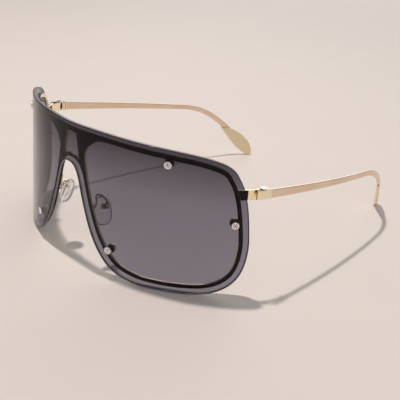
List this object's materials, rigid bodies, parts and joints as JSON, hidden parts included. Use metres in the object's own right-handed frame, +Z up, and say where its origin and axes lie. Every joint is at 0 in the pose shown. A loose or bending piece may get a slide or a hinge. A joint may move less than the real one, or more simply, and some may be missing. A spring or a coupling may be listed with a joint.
{
  "type": "sunglasses",
  "caption": "Oversized shield sunglasses with one curved smoke lens screwed to a thin metal frame, slim folding temples with flat tips, and nose pads on wire arms.",
  "frame": {"origin": "on the table under the middle of the open sunglasses' bounding box", "axes": "+Z up from the table, the lens faces -Y, the temples run towards +Y, +X is the wearer's left"},
  "size_m": [0.1434, 0.1766, 0.0642],
  "materials": {
    "smoke_lens": "polished, see-through smoke grey",
    "pale_gold": "polished pale gold plating",
    "silver_screw": "polished",
    "tip_tan": "smooth, slightly glossy tan",
    "clear_silicone": "clear, smooth"
  },
  "bodies": {
    "front": {"endpiece_left": "pale_gold", "endpiece_right": "pale_gold", "front_hinge_left": "pale_gold", "front_hinge_right": "pale_gold", "hinge_screw_left": "silver_screw", "hinge_screw_right": "silver_screw", "lens": "smoke_lens", "lens_frame": "pale_gold", "lens_nut_lower_left": "silver_screw", "lens_nut_lower_right": "silver_screw", "lens_nut_outer_left": "silver_screw", "lens_nut_outer_right": "silver_screw", "lens_nut_top_left": "silver_screw", "lens_nut_top_right": "silver_screw", "lens_screw_lower_left": "silver_screw", "lens_screw_lower_right": "silver_screw", "lens_screw_outer_left": "silver_screw", "lens_screw_outer_right": "silver_screw", "lens_screw_top_left": "silver_screw", "lens_screw_top_right": "silver_screw", "lens_washer_lower_left": "clear_silicone", "lens_washer_lower_right": "clear_silicone", "lens_washer_outer_left": "clear_silicone", "lens_washer_outer_right": "clear_silicone", "lens_washer_top_left": "clear_silicone", "lens_washer_top_right": "clear_silicone", "pad_arm_left": "pale_gold", "pad_arm_right": "pale_gold", "pad_box_left": "pale_gold", "pad_box_right": "pale_gold", "pad_screw_left": "silver_screw", "pad_screw_right": "silver_screw"},
    "temple_left": {"temple_bar_left": "pale_gold", "temple_block_left": "pale_gold", "temple_collar_left": "pale_gold", "temple_hinge_left": "pale_gold", "temple_tip_left": "tip_tan"},
    "temple_right": {"temple_bar_right": "pale_gold", "temple_block_right": "pale_gold", "temple_collar_right": "pale_gold", "temple_hinge_right": "pale_gold", "temple_tip_right": "tip_tan"},
    "pad_left": {"nose_pad_left": "clear_silicone"},
    "pad_right": {"nose_pad_right": "clear_silicone"}
  },
  "joints": [
    {"name": "temple_left_fold", "type": "hinge", "parent": "front", "child": "temple_left", "pos_m": [0.07, -0.04266, 0.04512], "axis": [0, 0, 1], "range_deg": [0, 83]},
    {"name": "temple_right_fold", "type": "hinge", "parent": "front", "child": "temple_right", "pos_m": [-0.07, -0.04266, 0.04512], "axis": [0, 0, -1], "range_deg": [0, 79.5]},
    {"name": "nose_pad_left_rock", "type": "hinge", "parent": "front", "child": "pad_left", "pos_m": [0.0146, -0.07916, 0.02882], "axis": [-0.2588, -0.9659, 0], "range_deg": [-8, 8]},
    {"name": "nose_pad_right_rock", "type": "hinge", "parent": "front", "child": "pad_right", "pos_m": [-0.0146, -0.07916, 0.02882], "axis": [-0.2588, 0.9659, 0], "range_deg": [-8, 8]}
  ]
}
